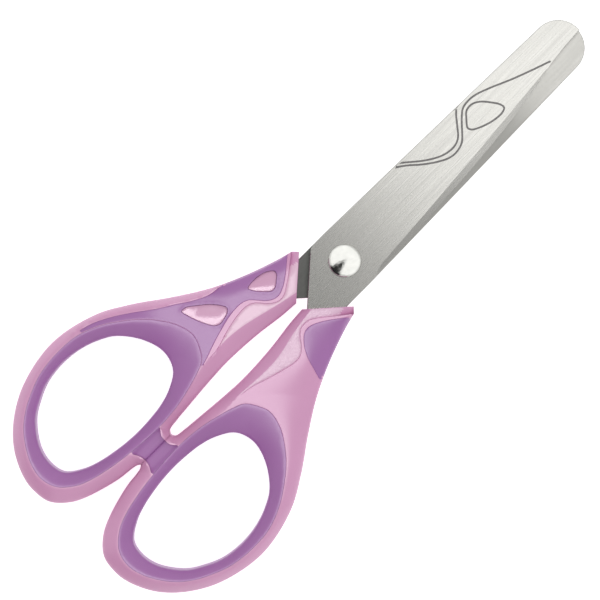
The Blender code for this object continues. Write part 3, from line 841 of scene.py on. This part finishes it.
def blade_outline():
    """Counter-clockwise from the heel: the spine, the tip, the cutting edge, the tang and back."""
    spine = straight(*SPINE_ENDS, 2.0)
    # Points exactly in line make stray slivers, so the spine is bowed by far less than anyone can see
    spine[:, 1] -= SPINE_BOW * np.sin(np.linspace(0, math.pi, len(spine)))
    return joined(
        HEEL_CORNER,
        spine,
        arc((TIP_REACH - TIP_RADIUS, 0), TIP_RADIUS, -87, 4, 36),
        run(CUTTING_EDGE, 0.8),
        [(0.5, HEEL_HALF), HEEL_SHOULDER],
        TANG[::-1],
        [HEEL_DIAGONAL_END],
    )


def etched_bands():
    """Outlines of the etched lines, each a loop or an outer and an inner loop."""
    half = ETCH_WIDTH / 2
    bands = []
    for wave in (LONG_WAVE, SHORT_WAVE):
        line = run(wave)
        bands.append([np.concatenate([beside(line, -half), beside(line, half)[::-1]])])
    drop = counter_clockwise(loop(DROP))
    return [*bands, [inset(drop, -half), inset(drop, half)]]


def counter_clockwise(outline):
    x, y = outline.T
    doubled = (x * np.roll(y, -1) - np.roll(x, -1) * y).sum()
    return outline if doubled > 0 else outline[::-1]


def in_bands(points, bands):
    """Which points lie in any of the bands."""
    found = np.zeros(len(points), bool)
    for band in bands:
        found |= within_loops(points, band)
    return found


def relief(points, spine):
    """Depth of the shallow slope ground along the spine of the inner face. It fades out towards both ends."""
    x, y = points.T
    along = smoothstep(2, 8, x) * (1 - smoothstep(34, 54, x))
    past = np.clip(RELIEF_REACH - distance(points, spine), 0, RELIEF_REACH)
    rounded = past - RELIEF_ROUND * (1 - np.exp(-past / RELIEF_ROUND))
    return RELIEF_SLOPE * along * np.where(y < 0, rounded, 0)


def blade_shape():
    """A flat blade with its tang, a bevel ground along the cutting edge, and an ornament on its outer face.

    Returns it with each face's finish: 0 brushed, 1 etched, 2 darker steel with painted shade on the tang's
    inner face, 3 the inner face's.
    """
    outline = blade_outline()
    x, y = outline.T
    cutting = (x > CUTTING_EDGE[-1][0]) & (x < TIP_REACH - 0.5) & (y > 0.9)
    chamfer = np.where(cutting, CUTTING_CHAMFER, BLADE_CHAMFER)
    spine = straight(*SPINE_ENDS, 1.0)
    bevel = run(BEVEL_TOP, 0.6)
    bands = etched_bands()
    narrower = [narrowed(band, 0.036) for band in bands]

    def inner_height(points):
        return -BLADE_INNER - relief(points, spine)

    def outer_height(points):
        x, y = points.T
        ground = (y > np.interp(x, *bevel.T)) & (x > BEVEL_TOP[0][0]) & (x < BEVEL_TOP[-1][0])
        slope = np.interp(x, *np.transpose(BEVEL_SLOPES))
        return -BLADE_OUTER + np.where(ground, slope * distance(points, bevel), 0)

    edge = inset(outline, chamfer)
    inner, outer = inner_height(edge), outer_height(edge)
    at_side = 0 * chamfer
    rows = [(chamfer, inner), (at_side, inner - chamfer), (at_side, outer + chamfer), (chamfer, outer)]
    bore = arc((0, 0), BORE_RADIUS, 0, -360, 48)[:-1]
    ones = np.ones(len(bore))
    bore_rows = [(0 * ones, -BLADE_INNER * ones), (0 * ones, -BLADE_OUTER * ones)]
    walls = [*bands, *(narrowed(band, 0.04) for band in bands)]
    etched_lines = [closed_line(line) for band in walls for line in band]
    painted_shade_line = straight((PAINTED_SHADE_UP_TO, -8), (PAINTED_SHADE_UP_TO, 8), 1.0)
    relief_lines = [beside(spine, away) for away in (0.7, 1.6, 2.5, 2.9, RELIEF_REACH)]
    shape = plate(
        [(outline, rows), (bore, bore_rows)],
        inner_height,
        lambda p: outer_height(p) + ETCH_DEPTH * in_bands(p, narrower),
        [painted_shade_line, *relief_lines],
        [bevel[1:-1], *etched_lines],
        spacing=1.6,
    )
    centres = face_centres(shape)
    on_outer = centres[:, 2] < -BLADE_OUTER + 0.1
    marks = np.where(in_bands(centres[:, :2], bands) & on_outer, 1, 0)
    on_inner = centres[:, 2] > INNER_DOWN_TO
    # The tang's inner face takes the darker steel, painted shade of the front blade.
    marks[on_inner] = np.where(centres[on_inner, 0] < PAINTED_SHADE_UP_TO, 2, 3)
    return shape, marks


def closed_line(outline):
    return np.vstack([outline, outline[:1]])


def narrowed(band, hair):
    """The same band, a hair narrower on each side."""
    return [inset(counter_clockwise(line), hair if i == 0 else -hair) for i, line in enumerate(band)]


def turned(profile, closed=False):
    """A profile of (radius, height) turned about the pivot axis. Points on the axis are shared."""
    steps = 96
    angles = np.linspace(0, 2 * math.pi, steps, endpoint=False)
    points, rings = [], []
    for radius, height in profile:
        if radius < TINY:
            rings.append([len(points)] * steps)
            points.append((0, 0, height))
        else:
            rings.append([len(points) + i for i in range(steps)])
            points += [(radius * math.cos(a), radius * math.sin(a), height) for a in angles]
    faces = []
    for upper, lower in zip(rings, rings[1:] + rings[:1] if closed else rings[1:]):
        for i in range(steps):
            j = (i + 1) % steps
            corners = [upper[i], lower[i], lower[j], upper[j]]
            faces.append(list(dict.fromkeys(corners)))
    return np.array(points, float), faces


def rivet_profile():
    """A domed head on the upper blade, the shank, and the tail spread over the burr."""
    head = BLADE_OUTER + RUNNING_GAP
    tail = -(BLADE_OUTER + BURR_THICK + 2 * RUNNING_GAP)
    dome = [(0.0, head + HEAD_RISE)]
    for t in np.linspace(0, 1, 16)[1:]:
        x = HEAD_RADIUS * math.sin(t * math.pi / 2)
        dome.append((x, head + HEAD_RIM + (HEAD_RISE - HEAD_RIM) * (1 - (x / HEAD_RADIUS) ** 2) ** 0.62))
    under_head = [(HEAD_RADIUS, head + 0.08), (HEAD_RADIUS - 0.06, head)]
    shank = [(SHANK_RADIUS, head), (SHANK_RADIUS, tail), (TAIL_RADIUS, tail)]
    angles = np.linspace(0.25, math.pi / 2, 8)[:-1]
    low = [(TAIL_RADIUS * math.cos(a), tail - TAIL_RISE * math.sin(a)) for a in angles]
    return dome + under_head + shank + low + [(0.0, tail - TAIL_RISE)]


def burr_profile():
    """The washer under the rivet's tail."""
    top, bottom = -(BLADE_OUTER + RUNNING_GAP), -(BLADE_OUTER + RUNNING_GAP + BURR_THICK)
    upper = [(BORE_RADIUS, top), (BURR_RADIUS - 0.08, top), (BURR_RADIUS, top - 0.08)]
    lower = [(BURR_RADIUS, bottom + BURR_ROUND), (BURR_RADIUS - BURR_ROUND, bottom), (BORE_RADIUS, bottom)]
    return upper + lower


# Materials


def new_node(tree, kind, inputs, **settings):
    """A node with its settings, and each input linked to a socket or set to a value."""
    node = tree.nodes.new("ShaderNode" + kind)
    for name, value in settings.items():
        setattr(node, name, value)
    for name, value in inputs.items():
        if isinstance(value, bpy.types.NodeSocket):
            tree.links.new(value, node.inputs[name])
        else:
            node.inputs[name].default_value = value
    return node


class Nodes:
    """Short calls for building one material's nodes."""

    def __init__(self, name, **sockets):
        self.material = bpy.data.materials.new(name)
        self.material.use_nodes = True
        self.tree = self.material.node_tree
        self.shader = self.tree.nodes["Principled BSDF"].inputs
        for socket, value in sockets.items():
            self.shader[socket.replace("_", " ")].default_value = value
        self.place = new_node(self.tree, "TexCoord", {}).outputs["Object"]

    def noise(self, scale, detail=2.0, vector=None, roughness=0.5):
        inputs = {"Scale": scale, "Detail": detail, "Roughness": roughness, "Vector": vector or self.place}
        return new_node(self.tree, "TexNoise", inputs).outputs["Fac"]

    def mapping(self, scale, turn):
        inputs = {"Scale": scale, "Rotation": (0, 0, turn), "Vector": self.place}
        return new_node(self.tree, "Mapping", inputs).outputs["Vector"]

    def mixed(self, factor, a, b):
        inputs = {"Factor": factor, "A": a, "B": b}
        return new_node(self.tree, "Mix", inputs, data_type="RGBA").outputs["Result"]

    def vary(self, socket, source, values):
        """Lets a socket of the shader run between two values or colours over the source's middle part."""
        ramp = new_node(self.tree, "ValToRGB", {"Fac": source})
        for element, place, value in zip(ramp.color_ramp.elements, (0.3, 0.7), values):
            element.position = place
            element.color = (*value, 1) if isinstance(value, tuple) else (value, value, value, 1)
        self.tree.links.new(ramp.outputs["Color"], self.shader[socket])

    def bump(self, source, strength, height):
        inputs = {"Strength": strength, "Distance": height, "Height": source}
        bump = new_node(self.tree, "Bump", inputs)
        self.tree.links.new(bump.outputs["Normal"], self.shader["Normal"])


def shade(colour, amount):
    return tuple(c * amount for c in colour)


def plastic(name, colour, roughness, grain, strength, specular, depth=0.00003):
    """Moulded plastic: slight unevenness of colour and gloss, and a fine surface grain."""
    made = Nodes(name, Roughness=roughness, Specular_IOR_Level=specular)
    cloud = made.noise(120.0, 3.0)
    fine = made.noise(grain, 2.0)
    made.vary("Base Color", cloud, (shade(colour, 0.975), shade(colour, 1.025)))
    made.vary("Roughness", fine, (roughness - 0.03, roughness + 0.04))
    made.bump(fine, strength, depth)
    return made.material


def brushed(name, colour, dark, roughness, turn_deg):
    """Ground sheet steel: long fine scratches in one direction."""
    made = Nodes(name, Metallic=1.0, Roughness=roughness)
    along = made.mapping((90, 6500, 300), math.radians(turn_deg))
    coarse = made.mapping((40, 1500, 100), math.radians(turn_deg))
    fine = made.noise(1.0, 3.0, along, 0.6)
    broad = made.noise(1.0, 2.0, coarse)
    grain = made.mixed(0.18, made.mixed(0.35, fine, made.noise(3800.0, 2.0)), broad)
    made.vary("Base Color", grain, (dark, colour))
    made.vary("Roughness", grain, (roughness + 0.07, roughness - 0.05))
    made.bump(grain, 0.25, 0.00002)
    return made.material


def polished():
    """Bright steel, very slightly uneven."""
    made = Nodes("polished_steel_finish", Metallic=1.0, Roughness=0.15)
    cloud = made.noise(900.0, 3.0)
    made.vary("Base Color", cloud, ((0.80, 0.80, 0.76), (0.88, 0.88, 0.84)))
    made.vary("Roughness", cloud, (0.12, 0.2))
    made.bump(made.noise(3000.0, 3.0), 0.5, 0.00003)
    return made.material


ALONG_BLADE = 13  # degrees, the grind's direction
STEEL = brushed("stainless_steel_finish", (0.445, 0.44, 0.417), (0.365, 0.36, 0.342), 0.26, ALONG_BLADE)
ETCHED = brushed("etched_steel", (0.20, 0.19, 0.19), (0.16, 0.155, 0.155), 0.5, ALONG_BLADE)
# Darker steel for the tang's inner face: painted shade of the front blade.
TANG_PAINTED_SHADE = brushed("tang_painted_shade_steel", (0.17, 0.175, 0.165), (0.14, 0.145, 0.135), 0.45, 80)
INNER = brushed("inner_face_steel", (0.385, 0.38, 0.36), (0.35, 0.345, 0.325), 0.33, ALONG_BLADE)
POLISHED = polished()
PINK = plastic("pink_plastic_finish", (0.63, 0.30, 0.50), 0.33, 5200, 0.1, specular=0.85)
# Lighter copies of the pink for the flat neck facets: their colour is painted sheen of the overhead light.
# The frosted one also has a real coarser grain.
SATIN_PAINTED_SHEEN = plastic("satin_pink_painted_sheen", (0.76, 0.50, 0.64), 0.36, 3000, 0.3, specular=0.85)
FROSTED_PAINTED_SHEEN = plastic("frosted_pink_painted_sheen", (0.745, 0.49, 0.645), 0.34, 2600, 1.0, specular=0.95, depth=0.00013)
PINK_GLOSS = plastic("pink_gloss_plastic_finish", (0.655, 0.35, 0.525), 0.16, 2600, 0.04, specular=0.95)
PURPLE = plastic("purple_soft_plastic_finish", (0.345, 0.13, 0.37), 0.36, 4200, 0.2, specular=0.9)


# Assembly

# The groups of pieces that have lights of their own
GROUPS = {name: bpy.data.collections.new("lit_" + name) for name in ("plastic", "blades", "rivet")}

BLADE_SHARP, CORNER_SHARP, STOP_SHARP = 5, 38, 50  # degrees
blade, blade_marks = blade_shape()
core, core_marks = core_shape()
PIECES = [
    ("blade", "ground", blade, STEEL, BLADE_SHARP, (ETCHED, TANG_PAINTED_SHADE, INNER), blade_marks),
    ("handle_core", "moulded", core, PINK, CORNER_SHARP, (SATIN_PAINTED_SHEEN, FROSTED_PAINTED_SHEEN), core_marks),
    ("ring_grip", "moulded", ring_shape(), PURPLE, CORNER_SHARP),
    ("neck_cover", "moulded", cover_shape(), PURPLE, CORNER_SHARP),
    ("neck_pad", "moulded", pad_shape(), PURPLE, CORNER_SHARP),
    ("large_inlay", "moulded", inlay_shape(LARGE_WINDOW, 0.26, -15.2, -11.4, 3.0), PINK_GLOSS, CORNER_SHARP),
    ("small_inlay", "moulded", inlay_shape(SMALL_WINDOW, 0.29, -7.4, -3.6, 1.0), PINK_GLOSS, CORNER_SHARP),
    ("closing_stop", "moulded", stop_shape(), PURPLE, STOP_SHARP),
]
for half in ("back", "front"):
    for node, made_how, shape, finish, *more in PIECES:
        add_piece(f"{half}_{node}_{made_how}", shape, finish, half, f"{half}_{node}", *more)
add_piece("pivot_rivet_polished", turned(rivet_profile()), POLISHED, "back", "pivot_rivet", 35)
add_piece("rivet_burr_polished", turned(burr_profile(), closed=True), POLISHED, "back", "rivet_burr", 30)


# Stage

# Millimetres, with places from the pivot
PANEL_START = 55
PANEL_HEIGHT = 300
PANEL_HALF = 450
VIEW_WIDTH = 109.1107  # across the picture, in the plane of the pivot
VIEW_CENTRE = (-10.76, 0.707)

PANEL_RADIANCE = 0.44
FLAG_WIDTH = 0.46  # half of it, as a share of the distance towards the handles
FLAG_EDGE = (-0.02, 0.05)  # where it fades


def floor():
    """A plain pale floor, just under the lowest piece."""
    half = 1.5
    corners = [(-half, -half, 0), (half, -half, 0), (half, half, 0), (-half, half, 0)]
    mesh = bpy.data.meshes.new("floor")
    mesh.from_pydata(corners, [], [(0, 1, 2, 3)])
    made = Nodes("pale_floor", Roughness=0.9, Specular_IOR_Level=0.1, Emission_Strength=0.78)
    made.shader["Emission Color"].default_value = (1, 1, 1, 1)
    cloud = made.noise(3.0, 2.0)
    made.vary("Base Color", cloud, (0.90, 0.93))
    mesh.materials.append(made.material)
    obj = placed_object("floor", mesh)
    obj.location.z = cad_box[0].z - 0.0002


def softbox(name, centre_mm, size_mm, radiance, target_mm, group):
    """A rectangular studio light, aimed at a point, that lights one group. Places are mm from the pivot."""
    lamp = bpy.data.lights.new(name, "AREA")
    lamp.shape = "RECTANGLE"
    lamp.size, lamp.size_y = (s * MM for s in size_mm)
    lamp.energy = radiance * math.pi * lamp.size * lamp.size_y
    obj = placed_object(name, lamp)
    obj.location = Vector(centre_mm) * MM + Vector(PIVOT)
    aim = Vector(target_mm) * MM + Vector(PIVOT) - obj.location
    obj.rotation_euler = aim.to_track_quat("-Z", "Y").to_euler()
    obj.visible_camera = False
    obj.light_linking.receiver_collection = GROUPS[group]
    return obj


def panel(name, azimuth):
    """A level panel that lights the rivet from above, with the middle of one side ahead of it."""
    turn = math.radians(azimuth)
    centre = PANEL_START + PANEL_HALF * math.cos(turn), PANEL_HALF * math.sin(turn)
    size = 2 * PANEL_HALF, 2 * PANEL_HALF
    lamp = softbox(name, (*centre, PANEL_HEIGHT), size, PANEL_RADIANCE, (*centre, 0), "rivet")
    lamp.rotation_euler = (0, 0, turn)


def world(strength, dark, seen):
    """An even white studio with one dark wedge, the flag, standing towards the handles.

    The camera sees a plain pale wall.
    """
    made = bpy.data.worlds.new("studio")
    made.use_nodes = True
    tree = made.node_tree
    direction = new_node(tree, "TexCoord", {}).outputs["Generated"]
    axes = new_node(tree, "SeparateXYZ", {0: direction}).outputs
    across = new_node(tree, "Math", {0: axes["Y"]}, operation="ABSOLUTE").outputs[0]
    ahead = new_node(tree, "Math", {0: axes["X"], 1: FLAG_WIDTH}, operation="MULTIPLY").outputs[0]
    from_flag = new_node(tree, "Math", {0: across, 1: ahead}, operation="ADD").outputs[0]
    start, end = FLAG_EDGE
    fade = {"Value": from_flag, "From Min": start, "From Max": end, "To Min": dark, "To Max": strength}
    flag = new_node(tree, "MapRange", fade, interpolation_type="SMOOTHSTEP").outputs["Result"]
    camera_ray = new_node(tree, "LightPath", {}).outputs["Is Camera Ray"]
    chosen = new_node(tree, "Mix", {"Factor": camera_ray, "A": flag, "B": seen}).outputs["Result"]
    background = tree.nodes["Background"].inputs
    tree.links.new(chosen, background["Strength"])
    background["Color"].default_value = (1, 1, 1, 1)
    bpy.context.scene.world = made


def camera():
    """Straight down, turned so that the closed blades point to the upper right."""
    lens = bpy.data.cameras.new("camera")
    lens.lens, lens.sensor_width = 200.0, 36.0
    height = VIEW_WIDTH * lens.lens / lens.sensor_width
    obj = placed_object("camera", lens)
    obj.location = Vector((*VIEW_CENTRE, height)) * MM + Vector(PIVOT)
    obj.rotation_euler = (0, 0, math.radians(-45))
    lens.clip_start, lens.clip_end = 0.01, 10
    bpy.context.scene.camera = obj


floor()
world(strength=0.68, dark=0.015, seen=0.95)
softbox("over_handles", (-50, 0, 300), (215, 100), 5.1, (-50, 0, 0), "plastic")
softbox("over_tips", (75, 0, 160), (117, 96), 1.64, (75, 0, 0), "blades")
softbox("behind_handles", (-394, 0, 424), (520, 700), 0.62, (30, 0, 0), "blades")
panel("rivet_left", 74)
panel("rivet_right", -74)
camera()
bpy.context.scene.view_settings.view_transform = "Standard"
